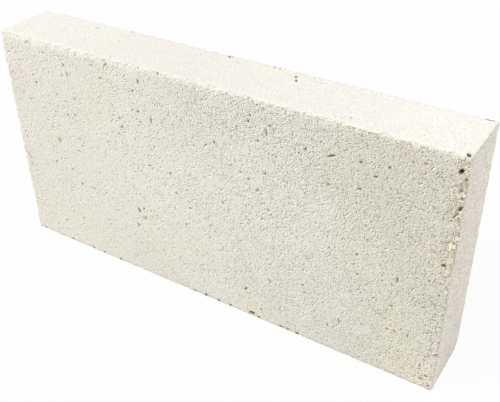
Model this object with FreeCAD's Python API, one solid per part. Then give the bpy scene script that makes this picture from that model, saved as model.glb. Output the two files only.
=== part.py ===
import FreeCAD, Part
import math
import os

# A refractory firebrick: an insulating split, cut square from one porous fired blank and worn by handling.
# It stands on its long edge. X runs along its length, Y from its front bed face to its back one, and Z up,
# with the origin under its middle, on the face that it stands on. Sizes are in millimetres.

# Size of the square brick: 9 x 1 1/4 x 4 1/2 in
LENGTH = 228.6
THICKNESS = 31.75
HEIGHT = 114.3

# Radius to which handling has rubbed the arrises
ARRIS_RADIUS = 0.6

# Outward direction of each face
FACES = {
    "left": FreeCAD.Vector(-1, 0, 0),
    "right": FreeCAD.Vector(1, 0, 0),
    "front": FreeCAD.Vector(0, -1, 0),
    "back": FreeCAD.Vector(0, 1, 0),
    "bottom": FreeCAD.Vector(0, 0, -1),
    "top": FreeCAD.Vector(0, 0, 1),
}

# Spalled corners, by the three faces that meet there, with what is lost from each of their arrises:
# along the length, through the thickness and up the height
CORNER_SPALLS = {
    ("left", "front", "top"): (1.6, 1.3, 2.2),
    ("left", "back", "top"): (4.0, 2.2, 1.6),
    ("right", "back", "top"): (1.3, 1.3, 1.3),
    ("right", "front", "top"): (1.5, 1.4, 1.8),
    ("left", "front", "bottom"): (1.3, 1.2, 1.3),
    ("right", "front", "bottom"): (1.4, 1.2, 1.3),
    ("right", "back", "bottom"): (3.0, 3.4, 5.0),
    ("left", "back", "bottom"): (1.6, 1.5, 2.0),
}

# Nicks bitten out of the arrises, by the two faces that meet there and the face at the end that each is
# measured from: distance from that end, length along the arris, and depth below the worn arris
ARRIS_NICKS = [
    ("right", "front", "top", 14.0, 5.0, 0.6),
    ("right", "front", "top", 22.3, 4.6, 0.8),
    ("right", "front", "top", 36.9, 2.6, 0.6),
    ("right", "front", "bottom", 20.6, 3.2, 0.7),
    ("left", "front", "bottom", 46.0, 3.4, 0.5),
    ("front", "top", "left", 28.5, 4.0, 0.5),
    ("front", "top", "left", 88.0, 3.4, 0.4),
    ("front", "top", "right", 61.0, 3.8, 0.4),
    ("back", "top", "left", 49.0, 4.4, 0.6),
    ("back", "top", "right", 87.0, 3.6, 0.7),
    ("front", "bottom", "left", 72.0, 3.6, 0.5),
    ("back", "bottom", "right", 64.0, 4.2, 0.6),
]


def corner(faces):
    """Sharp corner where three faces would meet if none of it were worn."""
    outward = FACES[faces[0]] + FACES[faces[1]] + FACES[faces[2]]
    return FreeCAD.Vector(outward.x * LENGTH / 2, outward.y * THICKNESS / 2, (1 + outward.z) * HEIGHT / 2)


def worn_block():
    """Square brick standing on its long edge, with every arris rubbed round."""
    low_corner = FreeCAD.Vector(-LENGTH / 2, -THICKNESS / 2, 0)
    block = Part.makeBox(LENGTH, THICKNESS, HEIGHT, low_corner)
    return block.makeFillet(ARRIS_RADIUS, block.Edges)


def spalled_chip(faces, losses):
    """Chip that a corner lost, bounded by the plane through one point on each of its three arrises."""
    tip = corner(faces)
    ends = [tip - FACES[face] * loss for face, loss in zip(faces, losses)]
    middle = (ends[0] + ends[1] + ends[2]) * (1 / 3)
    overshoot = 3
    outline = [middle + (end - middle) * overshoot for end in ends]
    break_plane = Part.Face(Part.makePolygon(outline + outline[:1]))
    normal = (ends[1] - ends[0]).cross(ends[2] - ends[0]).normalize()
    height_of_tip = normal.dot(tip - middle)
    return break_plane.extrude(normal * height_of_tip * 2)


def nick_bite(side_a, side_b, end_face, distance, length, depth):
    """Ball that bites a shallow hollow out of the worn arris between two faces."""
    arris_point = corner((side_a, side_b, end_face)) - FACES[end_face] * distance
    outward = (FACES[side_a] + FACES[side_b]).normalize()
    worn_away = ARRIS_RADIUS * (math.sqrt(2) - 1)
    radius = (length ** 2 / 4 + depth ** 2) / (2 * depth)
    centre = arris_point + outward * (radius - depth - worn_away)
    return Part.makeSphere(radius, centre)


chips = [spalled_chip(faces, losses) for faces, losses in CORNER_SPALLS.items()]
bites = [nick_bite(*nick) for nick in ARRIS_NICKS]
firebrick = worn_block().cut(chips + bites).Solids[0]

os.makedirs("parts", exist_ok=True)
firebrick.exportStep("parts/firebrick.step")
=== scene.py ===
import math

import bpy
import numpy as np
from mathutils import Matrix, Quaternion, Vector, kdtree, noise


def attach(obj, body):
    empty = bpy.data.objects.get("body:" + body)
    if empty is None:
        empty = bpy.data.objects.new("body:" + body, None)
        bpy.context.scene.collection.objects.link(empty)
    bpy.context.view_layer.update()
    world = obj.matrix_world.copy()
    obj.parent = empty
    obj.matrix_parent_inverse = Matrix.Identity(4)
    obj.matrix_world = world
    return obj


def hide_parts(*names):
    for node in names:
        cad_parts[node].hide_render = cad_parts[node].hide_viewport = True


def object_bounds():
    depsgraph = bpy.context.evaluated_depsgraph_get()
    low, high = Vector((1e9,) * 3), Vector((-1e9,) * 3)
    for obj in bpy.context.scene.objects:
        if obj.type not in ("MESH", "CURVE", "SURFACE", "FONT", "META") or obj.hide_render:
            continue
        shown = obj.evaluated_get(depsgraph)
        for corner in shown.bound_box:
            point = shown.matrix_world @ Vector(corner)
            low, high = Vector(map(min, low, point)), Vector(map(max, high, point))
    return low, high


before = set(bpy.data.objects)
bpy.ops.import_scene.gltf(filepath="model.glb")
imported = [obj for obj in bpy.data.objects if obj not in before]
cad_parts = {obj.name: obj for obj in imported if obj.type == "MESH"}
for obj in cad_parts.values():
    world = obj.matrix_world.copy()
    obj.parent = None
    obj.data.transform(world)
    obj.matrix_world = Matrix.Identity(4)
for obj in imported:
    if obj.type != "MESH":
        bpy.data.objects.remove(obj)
cad_low, cad_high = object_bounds()

# The scene is in metres, and the sizes of the relief and of the grain are written in millimetres
MM = 0.001
LOW = np.array(cad_low) / MM
HIGH = np.array(cad_high) / MM
LENGTH, THICKNESS, HEIGHT = HIGH - LOW

# The six faces, in the order of depths_below_faces
LEFT, FRONT, BOTTOM, RIGHT, BACK, TOP = range(6)

# Density of the relief mesh: first the even skin that is shaped, then the triangles that are kept
SKIN_STEP = 0.4
KEPT_TRIANGLES = 190_000

# Slow unevenness of the cut faces, and fine crumbs: size across and depth
SWELL_SIZE, SWELL_DEPTH = 24.0, 0.07
CRUMB_SIZE, CRUMB_DEPTH = 3.0, 0.04

# Wear of every arris: size across, depth, and reach over the two faces
WEAR_SIZE, WEAR_DEPTH, WEAR_REACH = 2.6, 0.4, 1.2

# Finer bites of that wear: how many times smaller they are, and the strength of both in the noise
WEAR_FINER, WEAR_STRENGTH, WEAR_FINE_STRENGTH = 2.4, 2.0, 1.2

# Share of that wear on the arrises of the standing edge, and how far up from it they count
STANDING_WEAR, STANDING_REACH = 0.4, 3.0

# Crumbled rims of the two bed faces, by the face that each meets there: reach over the bed face, and depth at
# the arris
FRONT_RIM = {RIGHT: (5.0, 1.8), TOP: (2.0, 1.4), BOTTOM: (1.4, 0.6), LEFT: (1.4, 0.8)}
BACK_RIM = {RIGHT: (2.0, 0.7), TOP: (1.6, 0.6), BOTTOM: (2.0, 0.8), LEFT: (1.5, 0.6)}

# Crumbs of a rim: size, what their depth is counted from, and their share of the loss
RIM_CRUMB_SIZE, RIM_CRUMB_MEAN, RIM_CRUMB_SHARE = 1.5, 0.4, 0.9

# Lengths along a rim that have broken more and less: size, mean, change, and the least and most that is lost
RIM_BREAK_SIZE, RIM_BREAK_MEAN, RIM_BREAK_CHANGE = 4.5, 0.5, 0.9
RIM_BREAK_LEAST, RIM_BREAK_MOST = 0.1, 1.2

# Changes in the reach of a rim: size and share. Then the power of its slope, which is 1 for a straight one
RIM_REACH_SIZE, RIM_REACH_CHANGE = 8.0, 0.6
RIM_SLOPE_POWER = 0.8

# Points further than this from an arris, or deeper below a bed face, are never on a rim
RIM_FURTHEST, RIM_DEEPEST = 10.0, 4.0

# A point of an end counts as the bed face if that face is less than this much further off than the end
RIM_DEPTH = 1.2

# At the right end the rims have crumbled least below the first of these heights, and fully above the second
RIM_LOW, RIM_HIGH, RIM_LEAST = 50.0, 80.0, 0.15

# How coarse each face is, from 0 for a smooth one to 1 for a sandy one with many pores
COARSE = {LEFT: 0.5, FRONT: 1.0, BOTTOM: 0.5, RIGHT: 0.55, BACK: 0.9, TOP: 0.35}

# Share of that on the front: at the left, what the middle adds to it, and what the far right adds
COARSE_LEFT, COARSE_MIDDLE, COARSE_FAR = 0.625, 0.325, 0.07

# Where along the length the middle and the far right begin and are full
MIDDLE_START, MIDDLE_FULL = 65.0, 170.0
FAR_START, FAR_FULL = 190.0, 222.0

# How much sooner the middle begins and is full higher up, as a share of the height
MIDDLE_LEAN = 0.25

# The same by height: share at the foot of the front, and what is added up to its head
COARSE_FOOT, COARSE_HEAD = 0.95, 0.08

# Patches that are more and less coarse, wide and small: size and change
WIDE_PATCH_SIZE, WIDE_PATCH_CHANGE = 16.0, 0.18
SMALL_PATCH_SIZE, SMALL_PATCH_CHANGE = 7.0, 0.16

# What the crumbled rim at the right end adds, from where, and full from where, counted from that end
COARSE_RIM, COARSE_RIM_START, COARSE_RIM_FULL = 0.15, 8.0, 2.0

# How mottled each face is, from 0 to 1
MOTTLED = {LEFT: 0.8, FRONT: 0.16, BOTTOM: 0.5, RIGHT: 1.0, BACK: 0.16, TOP: 0.32}

# Scattered pores: number tried, smallest and largest half width, and longest and deepest for the width
PORES_TRIED = 1600
PORE_LEAST, PORE_MOST, PORE_STRETCH, PORE_DEPTH = 0.2, 0.5, 1.9, 0.9
PORE_SEED = 17

# Powers that make wide and long pores rare, and the shallowest pore of a width as a share of the deepest
PORE_WIDTH_POWER, PORE_LENGTH_POWER, PORE_SHALLOWEST = 2.5, 2, 0.6

# Rise of the random vector that turns a scattered pore. With none, each pore on an upright face is upright
PORE_TILT = 0.37

# Outline and bowl of every pore: size and share of its raggedness, and the power of its slope
PORE_RAGGED_SIZE, PORE_RAGGED_SHARE, PORE_BOWL_POWER = 0.6, 0.6, 0.6

# Points that a pore can change: reach for its half length, room around it, and room below its floor
PORE_SEARCH, PORE_ROOM, PORE_ROOM_BELOW = 1.4, 1.0, 0.8

# A pore of this depth gets the full painted shade of the pores, and none gets more than this many times that
PORE_DARK_DEPTH, PORE_DARKEST = 0.68, 2

# Where the painted shade of a pore ends, with 1 as its rim
PORE_SHADE_REACH = 1.2

# Pits on the front that can be told apart: along the length from the left end, and up from the standing edge
FRONT_PITS = [
    (19.0, 92.0), (37.0, 79.4), (41.8, 80.6), (79.6, 102.6), (81.6, 93.0), (82.3, 88.0), (70.2, 86.6),
    (71.0, 82.4), (65.6, 111.8), (34.1, 48.0), (23.5, 49.4), (23.5, 13.0), (36.2, 19.0), (143.4, 96.4),
    (188.5, 100.5), (195.0, 96.2), (200.0, 101.8), (189.0, 88.7), (175.6, 86.5), (165.0, 99.0), (122.0, 89.3),
    (135.0, 79.0), (138.8, 76.8), (142.9, 72.4), (146.9, 82.0), (148.4, 64.3), (96.9, 65.8), (85.4, 66.4),
    (99.4, 56.4), (107.0, 50.5), (103.8, 40.3), (190.0, 57.7), (190.9, 47.8), (144.6, 6.5), (149.0, 104.7),
    (139.0, 104.2), (139.8, 106.9), (184.4, 18.3), (178.7, 13.7), (166.0, 31.0), (206.9, 38.0), (215.0, 25.3),
    (227.8, 105.3), (226.5, 100.0), (227.4, 97.5), (227.4, 77.4), (227.8, 20.6), (226.9, 2.5), (223.0, 5.0),
    (225.6, 7.5),
]
PIT_HALF_WIDTH, PIT_DEPTH = 0.55, 0.75

# Pits along the lower arris of the front, darkened by painted shade: along the length from the left end
ARRIS_PITS = [5.0, 25.0, 40.0, 47.5, 58.7, 106.5, 113.0, 120.6, 127.4, 143.2, 155.2, 159.0, 163.9]
ARRIS_PIT_HEIGHT, ARRIS_PIT_HALF_LENGTH, ARRIS_PIT_HALF_WIDTH, ARRIS_PIT_DEPTH = 0.9, 0.9, 0.6, 1.1

# Other marks on the front: the same two places, half length, half width, slope in degrees, and depth
FRONT_MARKS = [
    (28.4, 63.3, 1.5, 0.50, -45, 0.7), (39.2, 105.6, 1.1, 0.40, -60, 0.45),
    (40.9, 101.4, 1.3, 0.35, -80, 0.6), (83.2, 107.8, 1.1, 0.42, 90, 0.95),
    (75.7, 38.2, 1.5, 0.48, -70, 1.2), (78.7, 40.0, 1.0, 0.45, 80, 0.55),
    (79.3, 34.6, 1.5, 0.60, 75, 0.4), (74.2, 29.0, 1.2, 0.50, -40, 0.8), (88.4, 90.2, 1.8, 0.32, 90, 0.65),
    (61.4, 104.2, 1.3, 0.42, 0, 0.75), (40.6, 60.5, 1.5, 0.40, 0, 0.5), (39.4, 41.2, 1.0, 0.40, 90, 0.6),
    (46.9, 40.8, 2.5, 0.32, 0, 0.5), (61.2, 32.8, 1.5, 0.35, 20, 0.4), (147.4, 101.6, 1.9, 0.38, -80, 0.48),
    (176.2, 99.4, 2.3, 0.45, 24, 0.75), (117.5, 86.8, 1.2, 0.42, 45, 0.48),
    (125.4, 59.9, 1.3, 0.40, -55, 0.6), (208.0, 52.2, 1.5, 0.45, 90, 0.6),
    (136.4, 15.5, 1.4, 0.62, 62, 0.6), (149.2, 25.9, 1.5, 0.50, -45, 0.58),
    (225.6, 108.0, 1.0, 0.85, 60, 1.6), (227.3, 92.6, 1.4, 0.60, 64, 1.1), (226.0, 89.4, 1.6, 0.42, 60, 0.7),
    (225.0, 66.6, 1.0, 0.75, 0, 0.95), (139.5, 1.9, 1.7, 0.90, 0, 1.6), (57.0, 109.4, 0.6, 0.45, 0, 0.6),
    (18.0, 112.2, 0.6, 0.40, 0, 0.5), (27.3, 108.7, 0.6, 0.40, 0, 0.55), (29.1, 79.0, 0.5, 0.45, 0, 0.6),
    (206.1, 25.0, 0.6, 0.45, 0, 0.6), (209.5, 25.3, 0.7, 0.42, 0, 0.55), (223.0, 31.0, 0.8, 0.45, 40, 0.5),
    (222.0, 12.0, 0.8, 0.40, -60, 0.6), (4.3, 46.6, 2.2, 0.38, -60, 0.4), (2.6, 48.2, 1.6, 0.35, -60, 0.35),
]

# Marks on the upper edge: along the length from the left end, back from the front, and then as on the front
TOP_MARKS = [
    (226.7, 2.6, 1.15, 0.78, -60, 1.4), (225.0, 30.9, 1.8, 0.70, 0, 0.9), (147.4, 23.7, 1.1, 0.50, -60, 1.1),
    (145.5, 26.9, 1.0, 0.50, -60, 1.1), (94.0, 1.0, 1.0, 0.50, 0, 0.5), (111.2, 29.9, 1.4, 0.70, 0, 0.9),
    (117.7, 26.5, 0.9, 0.40, 0, 0.6), (133.4, 30.2, 0.6, 0.50, 0, 0.8), (135.9, 30.3, 0.6, 0.50, 0, 0.8),
    (144.3, 30.9, 1.1, 0.50, 0, 0.7), (157.1, 26.8, 0.6, 0.40, -60, 0.5), (55.8, 31.0, 1.2, 0.60, 0, 0.7),
    (38.2, 26.3, 0.7, 0.50, 0, 0.6),
]

# Some are the front's own stained patches; the grey ones and the broad ones are painted light and shade
# Faint patches on the front: the same two places, reach, and what the colour is multiplied by
FRONT_STAINS_AND_PAINTED_LIGHT = [
    (4.0, 18.0, 12.0, (1.00, 0.985, 0.945)),
    (6.0, 21.0, 4.0, (1.015, 0.982, 0.975)),
    (97.0, 55.0, 15.0, (1.01, 1.00, 1.045)),
    (62.0, 27.0, 9.0, (1.00, 0.99, 1.03)),
    (213.0, 15.0, 14.0, (1.02, 1.015, 0.965)),
    (225.0, 69.0, 6.0, (1.02, 0.99, 0.97)),
    (146.5, 106.8, 1.8, (0.99, 0.98, 0.90)),
    (141.1, 7.2, 7.0, (1.00, 0.99, 0.91)),
    (77.9, 36.4, 4.0, (1.00, 0.99, 0.95)),
    (173.8, 102.5, 4.0, (0.985, 1.00, 0.97)),
    (220.0, 48.0, 13.0, (0.955, 0.95, 0.965)),
    (218.0, 72.0, 34.0, (0.98, 0.977, 0.96)),
    (208.0, 27.0, 7.0, (1.00, 0.995, 0.94)),
    (205.8, 41.2, 9.0, (1.01, 1.01, 0.97)),
    (215.0, 60.0, 60.0, (0.975, 0.975, 0.97)),
    (203.0, 108.0, 32.0, (0.925, 0.915, 0.885)),
    (150.0, 118.0, 30.0, (0.96, 0.965, 0.965)),
    (60.0, 118.0, 30.0, (0.975, 0.977, 0.977)),
    (162.0, 60.0, 38.0, (1.02, 1.033, 1.05)),
    (222.0, 6.0, 8.0, (1.07, 1.03, 1.015)),
    (0.0, 88.0, 14.0, (0.94, 0.935, 0.935)),
    (0.0, 46.0, 9.0, (0.94, 0.933, 0.928)),
    (25.0, 100.0, 35.0, (0.98, 0.967, 0.965)),
    (25.0, 60.0, 45.0, (0.979, 0.973, 0.97)),
    (110.0, 70.0, 50.0, (1.005, 1.01, 1.022)),
    (104.0, 104.0, 30.0, (0.952, 0.955, 0.945)),
    (76.0, 3.0, 20.0, (0.95, 0.952, 0.968)),
]

# The same on the upper edge: along the length from the left end, back from the front, reach and colour
# Of these, the two broad ones are painted shade towards the left and painted light at the right end, the rest
# stained patches
TOP_STAINS_AND_PAINTED_LIGHT = [
    (85.0, 4.0, 45.0, (0.965, 0.962, 0.98)),
    (215.0, 16.0, 30.0, (1.045, 1.045, 1.035)),
    (135.0, 28.0, 6.0, (1.01, 1.01, 0.95)),
    (147.0, 25.0, 5.0, (1.01, 1.01, 0.95)),
    (46.0, 22.0, 7.0, (1.02, 1.02, 0.985)),
]

# Warmer and lighter where the front's rim has crumbled at the right end: partly its colour, partly painted
# light
RIM_WARMTH_AND_LIGHT, RIM_TINT_REACH = (1.11, 1.08, 1.04), 5.0

# Lighter and a little warmer along the front rim of the upper edge
UPPER_RIM_TINT, UPPER_RIM_REACH = (1.05, 1.05, 1.015), 4.5

# Both tints are full within this distance of the arris
RIM_TINT_FULL = 1

# What the colour of a whole face is multiplied by. The upper edge is made whiter as painted light
FACE_TINTS = {TOP: (1.00, 1.00, 1.04), RIGHT: (0.965, 0.94, 0.945)}

# Gap between the faces on the flat map of the brick
MAP_GAP = 4.0

# The body's two creams, their patch size, and the painted shade that pores, tears and pinholes multiply it by
CREAM, PALE_CREAM, CREAM_SIZE = (0.85, 0.824, 0.723, 1), (0.845, 0.824, 0.74, 1), 45
PAINTED_PORE_SHADE = (0.335, 0.293, 0.185, 1)
ROUGHNESS, SPECULAR = 0.95, 0.2

# Ranges of a cloud's values: nearly all of them, most of them, and the middle ones
WHOLE_CLOUD, MOST_CLOUD, MIDDLE_CLOUD = (0.2, 0.8), (0.25, 0.75), (0.35, 0.65)

# Grains: size, slope in degrees up to the right on the front, and length for the width
FINE_GRAIN = (0.32, 52, 2.2)
BROAD_GRAIN = (0.58, 45, 1.9)
SAND_GRAIN = (0.39, 52, 1.5)

# The grain is broad up to the first coarseness and fine from the second, and is spread wider in between
BROAD_UP_TO, FINE_FROM, BETWEEN_SPREAD = 0.6, 0.95, 1.65

# Swirls that bend the rows of grains, and bends that make pinholes ragged: size and reach
SWIRL_SIZE, SWIRL_REACH = 3.0, 1.0
PINHOLE_BEND_SIZE, PINHOLE_BEND_REACH = 0.6, 0.5

# Tears open where the grain falls below a level: that of the smoothest body, and what coarseness adds to it
TEAR_LEVEL, TEAR_COARSE = 0.188, 0.16

# Clusters of tears: size, and how far the grain sinks and rises in them
CLUSTER_SIZE, CLUSTER_CHANGE = 1.7, 0.06

# How far the grain lies above that level where a tear is fully open, and where it closes
TEAR_OPEN, TEAR_CLOSED = -0.075, 0.012

# Painted highlight on a tear's lip: the shift of the tear that gives it, and that shift's direction to the
# lower right
LIP_SHIFT, LIP_RIGHT, LIP_DOWN = 0.35, 0.9, -0.8

# Coarsenesses between which the tears' painted shade and the lip highlights gain strength, and each one's
# strength at both
WEAKEST_AT, STRONGEST_AT = 0.4, 0.95
TEAR_WEAKEST, TEAR_STRONGEST = 0.34, 0.97
LIP_WEAKEST, LIP_STRONGEST = 0.36, 0.46

# Patches of fainter and stronger tears: size, least and most
TORN_SIZE, TORN_LEAST, TORN_MOST = 1.2, 0.6, 1.2

# Light and dark grains of sand: strength on the smoothest body, and what coarseness adds
SAND_STRENGTH, SAND_COARSE = 0.065, 0.135

# Mottles and finer speckles of a mottled face: size and strength
MOTTLE_SIZE, MOTTLE_STRENGTH = 5, 0.065
SPECKLE_SIZE, SPECKLE_STRENGTH = 0.6, 0.37

# Pinholes: distance apart, radius on the coarsest body, where their soft edge starts, and their painted shade
PINHOLE_STEP, PINHOLE_RADIUS, PINHOLE_EDGE, PINHOLE_DARK = 2.2, 0.38, 0.5, 0.6

# Bump: depth, size of its grains, and the share of dark places in it
BUMP_DEPTH, BUMP_SIZE, BUMP_DARK = 0.45, 1.3, 0.8

# Floor: side in metres, and its grey and roughness where it is lit
FLOOR_SIDE, FLOOR_GREY, FLOOR_ROUGHNESS = 6.0, 0.8, 0.9

# Share of white that the camera sees of the floor: the least of it, the distance in metres up to which that
# holds, and the distance from which all is white
WHITE_LEAST, WHITE_LEAST_UP_TO, WHITE_ALL_FROM = 0.92, 0.15, 0.9

# Even light from all round, and the lamps by name, in metres and watts: place, side and power
WORLD_LIGHT = 0.2
LAMPS = {
    "key": ((-0.58, -0.66, 0.92), 0.7, 12.6),
    "right": ((0.8033, -0.1416, 0.4374), 0.6, 1.75),
    "back": ((0.35, 0.62, 0.57), 0.6, 4.2),
}
LAMP_AIM = (0, 0, 0.057)

# The photograph's view, worked out from the brick's straight edges: metres, degrees, and millimetres of lens
CAMERA_PLACE = (0.16939, -0.23968, 0.24703)
CAMERA_AZIMUTH, CAMERA_ELEVATION, CAMERA_ROLL = 32.82, 34.216, 0.925
CAMERA_LENS, CAMERA_SENSOR, CAMERA_NEAREST = 54.507, 36.0, 0.01


def noise_at(points, size):
    """Perlin noise from -1 to 1 at points in millimetres, with bumps of about the given size."""
    return np.array([noise.noise(p) for p in (points / size).tolist()])


def depths_below_faces(points):
    """How far points in millimetres lie inside each of the six faces of the brick's box."""
    return np.hstack([points - LOW, HIGH - points])


def smooth_step(values, start, end):
    """Share from 0 at the start to 1 at the end, which may be the lower one."""
    share = np.clip((values - start) / (end - start), 0, 1)
    return share * share * (3 - 2 * share)


def face_at(points):
    """The face that each point is part of. Its crumbled rim at an end belongs to the bed face."""
    depths = depths_below_faces(points)
    face = depths.argmin(axis=1)
    bed = np.where(depths[:, FRONT] < depths[:, BACK], FRONT, BACK)
    bed_depth = depths[:, [FRONT, BACK]].min(axis=1)
    end_depth = depths[:, [LEFT, RIGHT]].min(axis=1)
    on_rim = np.isin(face, [LEFT, RIGHT]) & (bed_depth < end_depth + RIM_DEPTH)
    return np.where(on_rim, bed, face)


def by_face(points, values):
    """Each point's value, out of one for each face."""
    return np.array([values[side] for side in range(6)])[face_at(points)]


def coarseness(points):
    """How sandy the body is at each point: by face and in patches.

    On the front it is least so at the left, and rises to the right and a little with height.
    """
    x, _, z = (points - LOW).T
    face = face_at(points)
    coarse = by_face(points, COARSE)
    middle = COARSE_MIDDLE * smooth_step(x + MIDDLE_LEAN * z, MIDDLE_START, MIDDLE_FULL)
    front_share = COARSE_LEFT + middle + COARSE_FAR * smooth_step(x, FAR_START, FAR_FULL)
    front_share *= COARSE_FOOT + COARSE_HEAD * z / HEIGHT
    coarse *= np.where(face == FRONT, front_share, 1)
    wide = WIDE_PATCH_CHANGE * noise_at(points, WIDE_PATCH_SIZE)
    coarse *= 1 + wide + SMALL_PATCH_CHANGE * noise_at(points, SMALL_PATCH_SIZE)
    crumbled = (face == FRONT) * smooth_step(x, LENGTH - COARSE_RIM_START, LENGTH - COARSE_RIM_FULL)
    return coarse + COARSE_RIM * crumbled


def even_skin(node):
    """Mesh of a node's solid, made of even squares."""
    source = node.copy()
    source.data = node.data.copy()
    bpy.context.scene.collection.objects.link(source)
    voxels = source.modifiers.new("even_squares", "REMESH")
    voxels.mode = "VOXEL"
    voxels.voxel_size = SKIN_STEP * MM
    graph = bpy.context.evaluated_depsgraph_get()
    skin = bpy.data.meshes.new_from_object(source.evaluated_get(graph))
    bpy.data.objects.remove(source)
    return skin


def mesh_numbers(items, name):
    """A vector of each of a mesh's vertices or faces, as rows."""
    values = np.zeros(len(items) * 3, np.float32)
    items.foreach_get(name, values)
    return values.reshape(-1, 3).astype(float)


def marked_pores():
    """Pores at the places of the marks: place, normal, direction, half length, half width and depth."""
    front = np.array([0.0, -1.0, 0.0])
    top = np.array([0.0, 0.0, 1.0])
    arris_form = (ARRIS_PIT_HALF_LENGTH, ARRIS_PIT_HALF_WIDTH, 0, ARRIS_PIT_DEPTH)
    pits = [(x, z, PIT_HALF_WIDTH, PIT_HALF_WIDTH, 0, PIT_DEPTH) for x, z in FRONT_PITS]
    pits += [(x, ARRIS_PIT_HEIGHT, *arris_form) for x in ARRIS_PITS]
    pores = []
    for x, z, half_length, half_width, slope, depth in pits + FRONT_MARKS:
        along = np.array([math.cos(math.radians(slope)), 0, math.sin(math.radians(slope))])
        pores.append((LOW + (x, 0, z), front, along, half_length, half_width, depth))
    for x, y, half_length, half_width, slope, depth in TOP_MARKS:
        along = np.array([math.cos(math.radians(slope)), math.sin(math.radians(slope)), 0])
        pores.append((LOW + (x, y, HEIGHT), top, along, half_length, half_width, depth))
    return pores


def scattered_pores(points, normals):
    """Seeded pores over the whole skin, more where it is coarse, in the form of marked_pores."""
    draw = np.random.default_rng(PORE_SEED)
    places = draw.integers(len(points), size=PORES_TRIED)
    places = places[draw.random(PORES_TRIED) < coarseness(points[places]) ** 2]
    pores = []
    for place in places:
        half_width = PORE_LEAST + (PORE_MOST - PORE_LEAST) * draw.random() ** PORE_WIDTH_POWER
        half_length = half_width * (1 + (PORE_STRETCH - 1) * draw.random() ** PORE_LENGTH_POWER)
        turn = draw.random() * math.tau
        along = np.cross(normals[place], [math.cos(turn), math.sin(turn), PORE_TILT])
        along /= np.linalg.norm(along)
        depth = half_width * PORE_DEPTH * (PORE_SHALLOWEST + (1 - PORE_SHALLOWEST) * draw.random())
        pores.append((points[place], normals[place], along, half_length, half_width, depth))
    return pores


def pore_fields(points, pores):
    """Depth of the pores at each point, and their painted shade there: from 0 outside to 2 in the deepest."""
    tree = kdtree.KDTree(len(points))
    for index, point in enumerate(points.tolist()):
        tree.insert(point, index)
    tree.balance()
    ragged = 1 + PORE_RAGGED_SHARE * noise_at(points, PORE_RAGGED_SIZE)
    depth = np.zeros(len(points))
    dark = np.zeros(len(points))
    for place, normal, along, half_length, half_width, pore_depth in pores:
        search = PORE_SEARCH * half_length + pore_depth + PORE_ROOM
        near = [index for _, index, _ in tree.find_range(place, search)]
        offset = points[near] - place
        lengthwise = offset @ along / half_length
        crosswise = offset @ np.cross(normal, along) / half_width
        far_below = np.clip(-offset @ normal - pore_depth - PORE_ROOM_BELOW, 0, None)
        radius = (lengthwise ** 2 + crosswise ** 2) * ragged[near] + far_below
        bowl = np.clip(1 - radius, 0, 1) ** PORE_BOWL_POWER
        depth[near] = np.maximum(depth[near], pore_depth * bowl)
        darkest = np.clip(pore_depth / PORE_DARK_DEPTH, 0, PORE_DARKEST)
        dark[near] = np.maximum(dark[near], darkest * np.clip(PORE_SHADE_REACH - radius, 0, 1))
    return depth, dark


def crumbled_share(points):
    """How far the rims at the right end have crumbled at each point's height."""
    return RIM_LEAST + (1 - RIM_LEAST) * smooth_step(points[:, 2] - LOW[2], RIM_LOW, RIM_HIGH)


def rim_loss(points, rim):
    """How deep the rim of a bed face has crumbled at each point's place on that face."""
    depths = depths_below_faces(points)
    flat = points * (1, 0, 1)
    crumbs = np.array([noise.voronoi(p)[0][0] for p in (flat / RIM_CRUMB_SIZE).tolist()])
    broken = RIM_BREAK_MEAN + RIM_BREAK_CHANGE * noise_at(flat, RIM_BREAK_SIZE)
    broken = np.clip(broken, RIM_BREAK_LEAST, RIM_BREAK_MOST) + RIM_CRUMB_SHARE * (crumbs - RIM_CRUMB_MEAN)
    widening = 1 + RIM_REACH_CHANGE * noise_at(flat, RIM_REACH_SIZE)
    loss = np.zeros(len(points))
    for side, (reach, depth) in rim.items():
        share = np.clip(1 - depths[:, side] / (reach * widening), 0, 1)
        if side == RIGHT:
            share *= crumbled_share(points)
        loss = np.maximum(loss, depth * share ** RIM_SLOPE_POWER * broken)
    return loss


def with_crumbled_rims(points):
    """The skin's points, with those in front of a bed face's crumbled rim pushed back to it."""
    depths = depths_below_faces(points)
    by_an_arris = depths[:, [LEFT, RIGHT, BOTTOM, TOP]].min(axis=1) < RIM_FURTHEST
    crumbled = points.copy()
    near = by_an_arris & (depths[:, FRONT] < RIM_DEEPEST)
    crumbled[near, 1] = np.maximum(points[near, 1], LOW[1] + rim_loss(points[near], FRONT_RIM))
    near = by_an_arris & (depths[:, BACK] < RIM_DEEPEST)
    crumbled[near, 1] = np.minimum(points[near, 1], HIGH[1] - rim_loss(points[near], BACK_RIM))
    return crumbled


def arris_wear(points):
    """How deep the wear of the arrises has bitten at each point."""
    coarse_bites = WEAR_STRENGTH * noise_at(points, WEAR_SIZE)
    fine_bites = WEAR_FINE_STRENGTH * noise_at(points, WEAR_SIZE / WEAR_FINER)
    bite = np.clip(coarse_bites + fine_bites, 0, 1)
    depths = depths_below_faces(points)
    bite *= np.where(depths[:, BOTTOM] < STANDING_REACH, STANDING_WEAR, 1)
    from_arris = np.sort(depths, axis=1)[:, 1]
    return bite * WEAR_DEPTH * np.exp(-((from_arris / WEAR_REACH) ** 2))


def shaped(points, normals, pores):
    """The skin's points, sunk below the flat faces by unevenness, worn arrises, pores and crumbled rims."""
    sunk = SWELL_DEPTH * (0.5 + 0.5 * noise_at(points, SWELL_SIZE))
    sunk += CRUMB_DEPTH * np.clip(noise_at(points, CRUMB_SIZE), 0, 1)
    sunk += arris_wear(points)
    pore_depth, _ = pore_fields(points, pores)
    return with_crumbled_rims(points) - normals * (sunk + pore_depth)[:, None]


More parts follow.
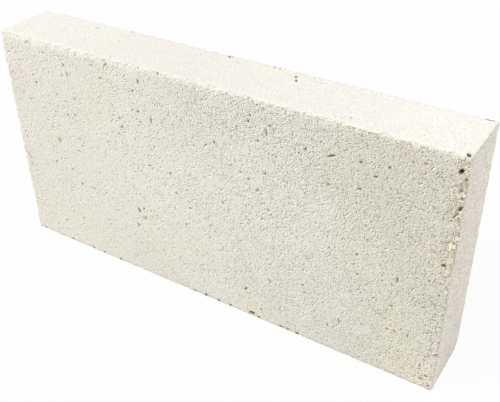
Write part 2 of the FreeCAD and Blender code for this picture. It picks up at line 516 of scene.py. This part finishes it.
def thinned(mesh, triangles):
    """The mesh as triangles, fewest where it is flattest."""
    holder = bpy.data.objects.new("thinning", mesh)
    bpy.context.scene.collection.objects.link(holder)
    collapse = holder.modifiers.new("collapse", "DECIMATE")
    mesh.calc_loop_triangles()
    collapse.ratio = triangles / len(mesh.loop_triangles)
    collapse.use_collapse_triangulate = True
    graph = bpy.context.evaluated_depsgraph_get()
    kept = bpy.data.meshes.new_from_object(holder.evaluated_get(graph))
    bpy.data.objects.remove(holder)
    bpy.data.meshes.remove(mesh)
    return kept


def lay_out_faces(mesh):
    """A flat map of the six faces of the brick, each seen square on, side by side on one page."""
    points = mesh_numbers(mesh.vertices, "co") / MM - LOW
    corners = np.zeros(len(mesh.loops), np.int32)
    mesh.loops.foreach_get("vertex_index", corners)
    face = depths_below_faces(mesh_numbers(mesh.polygons, "center") / MM).argmin(axis=1)
    counts = np.zeros(len(mesh.polygons), np.int32)
    mesh.polygons.foreach_get("loop_total", counts)
    face = np.repeat(face, counts)
    x, y, z = points[corners].T
    gap = MAP_GAP
    column = LENGTH + 2 * gap
    second_row = HEIGHT + 2 * gap
    third_row = second_row + HEIGHT + gap
    fourth_row = third_row + THICKNESS + gap
    # Left end, front, standing edge, right end, back and upper edge
    across = np.choose(face, [column + y, gap + x, gap + x, column + y, gap + x, gap + x])
    up = np.choose(face, [gap + z, gap + z, third_row + y, second_row + z, second_row + z, fourth_row + y])
    page = fourth_row + THICKNESS + gap
    layer = mesh.uv_layers.new(name="OFBake")
    layer.data.foreach_set("uv", (np.stack([across, up], 1) / page).astype(np.float32).ravel())


def stains_and_painted_light(points):
    """What the faint patches, the rims and whole faces multiply the body's colour by: some of it painted
    light and shade.
    """
    x, y, z = (points - LOW).T
    face = face_at(points)
    tint = np.ones((len(points), 3))

    def scale_colour(share, colour):
        tint[:] *= 1 + share[:, None] * (np.array(colour) - 1)

    # Stained patches of the body's own, and painted light and shade in the grey and broad ones
    for place_x, place_z, reach, colour in FRONT_STAINS_AND_PAINTED_LIGHT:
        scale_colour(np.exp(-((x - place_x) ** 2 + (z - place_z) ** 2) / reach ** 2) * (face == FRONT), colour)
    for place_x, place_y, reach, colour in TOP_STAINS_AND_PAINTED_LIGHT:
        scale_colour(np.exp(-((x - place_x) ** 2 + (y - place_y) ** 2) / reach ** 2) * (face == TOP), colour)
    # Warmer colour and painted light on the crumbled rim at the right end, then a lighter band along the
    # upper edge's front rim
    at_right_rim = smooth_step(x, LENGTH - RIM_TINT_REACH, LENGTH - RIM_TINT_FULL) * (face == FRONT)
    scale_colour(at_right_rim * crumbled_share(points), RIM_WARMTH_AND_LIGHT)
    scale_colour(smooth_step(y, UPPER_RIM_REACH, RIM_TINT_FULL) * (face == TOP), UPPER_RIM_TINT)
    # The upper edge whiter as painted light, and the right end darker and pinker
    for side, colour in FACE_TINTS.items():
        scale_colour(face == side, colour)
    return tint


def add_field(mesh, name, values):
    """A number for each of the mesh's points, which the material reads by name."""
    attribute = mesh.attributes.new(name, "FLOAT", "POINT")
    attribute.data.foreach_set("value", values.astype(np.float32))


def add_colour(mesh, name, colours):
    """The same with a colour for each point."""
    attribute = mesh.attributes.new(name, "FLOAT_COLOR", "POINT")
    opaque = np.hstack([colours, np.ones((len(colours), 1))])
    attribute.data.foreach_set("color", opaque.astype(np.float32).ravel())


def fired_body():
    """The brick's own piece: the solid's skin with its relief, and the fields that its material reads."""
    skin = even_skin(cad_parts["firebrick"])
    points = mesh_numbers(skin.vertices, "co") / MM
    normals = mesh_numbers(skin.vertices, "normal")
    pores = marked_pores() + scattered_pores(points, normals)
    points = shaped(points, normals, pores).clip(LOW, HIGH) * MM
    skin.vertices.foreach_set("co", points.astype(np.float32).ravel())
    skin.update()
    mesh = thinned(skin, KEPT_TRIANGLES)
    mesh.name = "firebrick_body"
    points = mesh_numbers(mesh.vertices, "co") / MM
    # Painted shade of the pores, which darkens the material's colour
    add_field(mesh, "pore_shade", pore_fields(points, pores)[1])
    add_field(mesh, "coarse", coarseness(points))
    add_field(mesh, "mottled", by_face(points, MOTTLED))
    add_colour(mesh, "stain_and_painted_light", stains_and_painted_light(points))
    lay_out_faces(mesh)
    mesh.shade_smooth()
    mesh.materials.clear()
    mesh.materials.append(fired_clay())
    piece = bpy.data.objects.new("firebrick_body", mesh)
    bpy.context.scene.collection.objects.link(piece)
    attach(piece, "root")
    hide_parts("firebrick")


class ClayNodes:
    """Short calls that add the clay's shader nodes. Inputs are sockets or constants, with sizes in mm."""

    def __init__(self, material):
        material.use_nodes = True
        self.nodes = material.node_tree.nodes
        self.link = material.node_tree.links.new
        self.place = self.nodes.new("ShaderNodeTexCoord").outputs["Object"]

    def put(self, socket, value):
        if isinstance(value, bpy.types.NodeSocket):
            self.link(value, socket)
        else:
            socket.default_value = value

    def attribute(self, name, output):
        node = self.nodes.new("ShaderNodeAttribute")
        node.attribute_name = name
        return node.outputs[output]

    def maths(self, kind, first, second):
        node = self.nodes.new("ShaderNodeMath")
        node.operation = kind
        self.put(node.inputs[0], first)
        self.put(node.inputs[1], second)
        return node.outputs["Value"]

    def plus(self, first, second):
        return self.maths("ADD", first, second)

    def minus(self, first, second):
        return self.maths("SUBTRACT", first, second)

    def times(self, first, second):
        return self.maths("MULTIPLY", first, second)

    def larger(self, first, second):
        return self.maths("MAXIMUM", first, second)

    def mapped(self, value, from_low, from_high, to_low, to_high, kind="SMOOTHSTEP"):
        node = self.nodes.new("ShaderNodeMapRange")
        node.interpolation_type = kind
        for socket, number in zip(node.inputs, (value, from_low, from_high, to_low, to_high)):
            self.put(socket, number)
        return node.outputs["Result"]

    def mixed(self, kind, share, first, second):
        """Two colours blended. A Mix node's colour sockets share their names with others, so go by number."""
        node = self.nodes.new("ShaderNodeMix")
        node.data_type = "RGBA"
        node.blend_type = kind
        self.put(node.inputs["Factor"], share)
        self.put(node.inputs[6], first)
        self.put(node.inputs[7], second)
        return node.outputs[2]

    def cloud(self, size, detail, output="Fac", at=None):
        """Soft noise, at the point itself if no other place is given."""
        texture = self.nodes.new("ShaderNodeTexNoise")
        texture.inputs["Scale"].default_value = 1 / (size * MM)
        texture.inputs["Detail"].default_value = detail
        self.link(self.place if at is None else at, texture.inputs["Vector"])
        return texture.outputs[output]

    def swing(self, cloud, reach=1.0):
        """A cloud's values spread evenly from -reach to reach."""
        return self.mapped(cloud, *WHOLE_CLOUD, -reach, reach, "LINEAR")

    def grains(self, grain, detail, at, shift):
        """Cloud of long grains on a slope, the whole of it shifted to the lower right on the front."""
        size, slope, stretch = grain
        frame_of_grain = self.nodes.new("ShaderNodeMapping")
        frame_of_grain.vector_type = "TEXTURE"
        frame_of_grain.inputs["Location"].default_value = (LIP_RIGHT * shift * MM, 0, LIP_DOWN * shift * MM)
        frame_of_grain.inputs["Rotation"].default_value = (0, -math.radians(slope), 0)
        frame_of_grain.inputs["Scale"].default_value = (stretch, 1, 1)
        self.link(at, frame_of_grain.inputs["Vector"])
        return self.cloud(size, detail, at=frame_of_grain.outputs["Vector"])

    def bent(self, size, reach):
        """Place shifted to and fro, so that straight rows swirl and round cells become ragged."""
        shift = self.nodes.new("ShaderNodeVectorMath")
        shift.operation = "MULTIPLY_ADD"
        self.link(self.cloud(size, 1.0, "Color"), shift.inputs[0])
        shift.inputs[1].default_value = (reach * MM,) * 3
        self.link(self.place, shift.inputs[2])
        return shift.outputs["Vector"]


def torn_grain(tree, coarse):
    """Tears between the grains, in clusters and more where it is coarse, for painted shade, and painted
    highlights on their lower right lip.
    """
    swirled = tree.bent(SWIRL_SIZE, SWIRL_REACH)
    broadness = tree.mapped(coarse, BROAD_UP_TO, FINE_FROM, 1.0, 0.0, "LINEAR")
    fineness = tree.minus(1.0, broadness)
    spread = tree.plus(1.0, tree.times(tree.times(broadness, fineness), BETWEEN_SPREAD))
    clusters = tree.swing(tree.cloud(CLUSTER_SIZE, 1.0), CLUSTER_CHANGE)
    level = tree.plus(tree.times(coarse, TEAR_COARSE), TEAR_LEVEL)

    def tears(shift):
        fine = tree.times(tree.minus(tree.grains(FINE_GRAIN, 0.0, swirled, shift), 0.5), fineness)
        broad = tree.times(tree.minus(tree.grains(BROAD_GRAIN, 0.0, swirled, shift), 0.5), broadness)
        grain = tree.plus(tree.times(tree.plus(fine, broad), spread), 0.5)
        above_level = tree.minus(tree.plus(grain, clusters), level)
        return tree.mapped(above_level, TEAR_OPEN, TEAR_CLOSED, 1.0, 0.0)

    gaps = tears(0.0)
    # Painted highlight on the lower right lip of each tear
    lip_highlights = tree.larger(tree.minus(tears(LIP_SHIFT), gaps), 0.0)
    return gaps, lip_highlights


def pinholes(tree, coarse):
    """Spots where seeds scattered one to a cell lie near the surface, larger where it is coarse."""
    texture = tree.nodes.new("ShaderNodeTexVoronoi")
    texture.inputs["Scale"].default_value = 1 / (PINHOLE_STEP * MM)
    tree.link(tree.bent(PINHOLE_BEND_SIZE, PINHOLE_BEND_REACH), texture.inputs["Vector"])
    outer = tree.times(coarse, PINHOLE_RADIUS / PINHOLE_STEP)
    inner = tree.times(outer, PINHOLE_EDGE)
    return tree.mapped(texture.outputs["Distance"], inner, outer, 1.0, 0.0)


def darkness(tree, coarse, gaps):
    """Painted shade of the body: 0 where it is sound, about 1 in tears and pinholes, and 2 in the deepest
    pits.
    """
    torn = tree.times(gaps, tree.mapped(tree.cloud(TORN_SIZE, 1.0), *MIDDLE_CLOUD, TORN_LEAST, TORN_MOST))
    strength = tree.mapped(coarse, WEAKEST_AT, STRONGEST_AT, TEAR_WEAKEST, TEAR_STRONGEST, "LINEAR")
    torn = tree.times(torn, strength)
    dark = tree.larger(tree.times(pinholes(tree, coarse), PINHOLE_DARK), torn)
    return tree.larger(dark, tree.attribute("pore_shade", "Fac"))


def clay_light(tree, coarse, lip_highlights):
    """What grains of sand, mottles, speckles and the painted highlights beside the tears multiply the body's
    colour by.
    """
    mottled = tree.attribute("mottled", "Fac")
    mottle = tree.mapped(tree.cloud(MOTTLE_SIZE, 4.0), *MOST_CLOUD, -1.0, 1.0, "LINEAR")
    mottle = tree.plus(tree.times(mottle, tree.times(mottled, MOTTLE_STRENGTH)), 1.0)
    sand = tree.swing(tree.grains(SAND_GRAIN, 1.0, tree.place, 0.0))
    sand = tree.times(sand, tree.plus(tree.times(coarse, SAND_COARSE), SAND_STRENGTH))
    speckle = tree.swing(tree.cloud(SPECKLE_SIZE, 1.0))
    speckle = tree.times(speckle, tree.times(mottled, SPECKLE_STRENGTH))
    strength = tree.mapped(coarse, WEAKEST_AT, STRONGEST_AT, LIP_WEAKEST, LIP_STRONGEST, "LINEAR")
    light = tree.plus(tree.plus(sand, 1.0), speckle)
    light = tree.plus(light, tree.times(lip_highlights, strength))
    return tree.times(mottle, light)


def clay_colour(tree, light, dark):
    """Slowly changing cream with its patches, some painted light and shade, the grain and painted highlights,
    and painted shade. The deepest pits get the painted shade twice.
    """
    wander = tree.mapped(tree.cloud(CREAM_SIZE, 2.0), *MIDDLE_CLOUD, 0.0, 1.0)
    colour = tree.mixed("MIX", wander, CREAM, PALE_CREAM)
    colour = tree.mixed("MULTIPLY", 1.0, colour, tree.attribute("stain_and_painted_light", "Color"))
    colour = tree.mixed("MULTIPLY", 1.0, colour, light)
    # Painted shade of pores, tears and pinholes, given again where it passes 1 in the deepest pits
    colour = tree.mixed("MULTIPLY", dark, colour, PAINTED_PORE_SHADE)
    return tree.mixed("MULTIPLY", tree.minus(dark, 1.0), colour, PAINTED_PORE_SHADE)


def clay_bump(tree, coarse, dark):
    """Grainy surface with its dark places sunk."""
    bump = tree.nodes.new("ShaderNodeBump")
    bump.inputs["Strength"].default_value = 1.0
    bump.inputs["Distance"].default_value = BUMP_DEPTH * MM
    grain = tree.times(tree.cloud(BUMP_SIZE, 1.0), coarse)
    tree.link(tree.minus(grain, tree.times(dark, BUMP_DARK)), bump.inputs["Height"])
    return bump.outputs["Normal"]


def fired_clay():
    """Matte, cream-white porous body: faint patches and painted light, sandy grain, painted highlights, and
    painted shade in tears, pinholes and pores.
    """
    material = bpy.data.materials.new("fired_clay")
    tree = ClayNodes(material)
    coarse = tree.attribute("coarse", "Fac")
    gaps, lip_highlights = torn_grain(tree, coarse)
    dark = darkness(tree, coarse, gaps)
    shader = tree.nodes["Principled BSDF"]
    shader.inputs["Roughness"].default_value = ROUGHNESS
    shader.inputs["Specular IOR Level"].default_value = SPECULAR
    tree.link(clay_colour(tree, clay_light(tree, coarse, lip_highlights), dark), shader.inputs["Base Color"])
    tree.link(clay_bump(tree, coarse, dark), shader.inputs["Normal"])
    return material


def seen(nodes, link):
    """1 for rays from the camera, a mirror or glass, and 0 for those that only light."""
    rays = nodes.new("ShaderNodeLightPath")
    total = rays.outputs["Is Camera Ray"]
    for name in ("Is Glossy Ray", "Is Transmission Ray"):
        either = nodes.new("ShaderNodeMath")
        either.operation = "MAXIMUM"
        link(total, either.inputs[0])
        link(rays.outputs[name], either.inputs[1])
        total = either.outputs["Value"]
    return total


def whiteness(nodes, link):
    """Share of white in what is seen of the floor: a little less near the brick, where its shadow shows."""
    from_brick = nodes.new("ShaderNodeVectorMath")
    from_brick.operation = "LENGTH"
    link(nodes.new("ShaderNodeTexCoord").outputs["Object"], from_brick.inputs[0])
    share = nodes.new("ShaderNodeMapRange")
    link(from_brick.outputs["Value"], share.inputs["Value"])
    share.inputs["From Min"].default_value = WHITE_LEAST_UP_TO
    share.inputs["From Max"].default_value = WHITE_ALL_FROM
    share.inputs["To Min"].default_value = WHITE_LEAST
    share.inputs["To Max"].default_value = 1.0
    seen_share = nodes.new("ShaderNodeMath")
    seen_share.operation = "MULTIPLY"
    link(seen(nodes, link), seen_share.inputs[0])
    link(share.outputs["Result"], seen_share.inputs[1])
    return seen_share.outputs["Value"]


def floor():
    """Pale floor that shows white to the camera, apart from a part of the brick's shadow close to it."""
    bpy.ops.mesh.primitive_plane_add(size=FLOOR_SIDE)
    plane = bpy.context.object
    plane.name = "floor"
    material = bpy.data.materials.new("floor")
    material.use_nodes = True
    nodes = material.node_tree.nodes
    link = material.node_tree.links.new
    lit = nodes["Principled BSDF"]
    lit.inputs["Base Color"].default_value = (FLOOR_GREY, FLOOR_GREY, FLOOR_GREY, 1)
    lit.inputs["Roughness"].default_value = FLOOR_ROUGHNESS
    lit.inputs["Specular IOR Level"].default_value = 0.0
    white = nodes.new("ShaderNodeEmission")
    mix = nodes.new("ShaderNodeMixShader")
    link(whiteness(nodes, link), mix.inputs["Fac"])
    link(lit.outputs["BSDF"], mix.inputs[1])
    link(white.outputs["Emission"], mix.inputs[2])
    link(mix.outputs["Shader"], nodes["Material Output"].inputs["Surface"])
    plane.data.materials.append(material)


def surroundings():
    """Even pale light from all round, which the camera sees as white."""
    world = bpy.data.worlds.new("surroundings")
    bpy.context.scene.world = world
    world.use_nodes = True
    nodes = world.node_tree.nodes
    link = world.node_tree.links.new
    light = nodes["Background"]
    light.inputs["Color"].default_value = (1, 1, 1, 1)
    light.inputs["Strength"].default_value = WORLD_LIGHT
    white = nodes.new("ShaderNodeBackground")
    white.inputs["Color"].default_value = (1, 1, 1, 1)
    mix = nodes.new("ShaderNodeMixShader")
    link(seen(nodes, link), mix.inputs["Fac"])
    link(light.outputs["Background"], mix.inputs[1])
    link(white.outputs["Background"], mix.inputs[2])
    link(mix.outputs["Shader"], nodes["World Output"].inputs["Surface"])


def softbox(name, place, side, power):
    """Square lamp that faces the middle of the brick."""
    lamp = bpy.data.lights.new(name, "AREA")
    lamp.size = side
    lamp.energy = power
    holder = bpy.data.objects.new(name, lamp)
    holder.location = place
    holder.rotation_euler = (Vector(LAMP_AIM) - Vector(place)).to_track_quat("-Z", "Y").to_euler()
    bpy.context.scene.collection.objects.link(holder)


def camera():
    """The photograph's view."""
    azimuth = math.radians(CAMERA_AZIMUTH)
    elevation = math.radians(CAMERA_ELEVATION)
    level = math.cos(elevation)
    forward = Vector((-math.sin(azimuth) * level, math.cos(azimuth) * level, -math.sin(elevation)))
    lens = bpy.data.cameras.new("camera")
    lens.lens = CAMERA_LENS
    lens.sensor_width = CAMERA_SENSOR
    lens.clip_start = CAMERA_NEAREST
    holder = bpy.data.objects.new("camera", lens)
    holder.location = CAMERA_PLACE
    holder.rotation_mode = "QUATERNION"
    upright = forward.to_track_quat("-Z", "Y")
    holder.rotation_quaternion = Quaternion(forward, math.radians(CAMERA_ROLL)) @ upright
    bpy.context.scene.collection.objects.link(holder)
    bpy.context.scene.camera = holder


fired_body()
floor()
surroundings()
for lamp_name, (lamp_place, lamp_side, lamp_power) in LAMPS.items():
    softbox(lamp_name, lamp_place, lamp_side, lamp_power)
camera()
bpy.context.scene.view_settings.view_transform = "Standard"
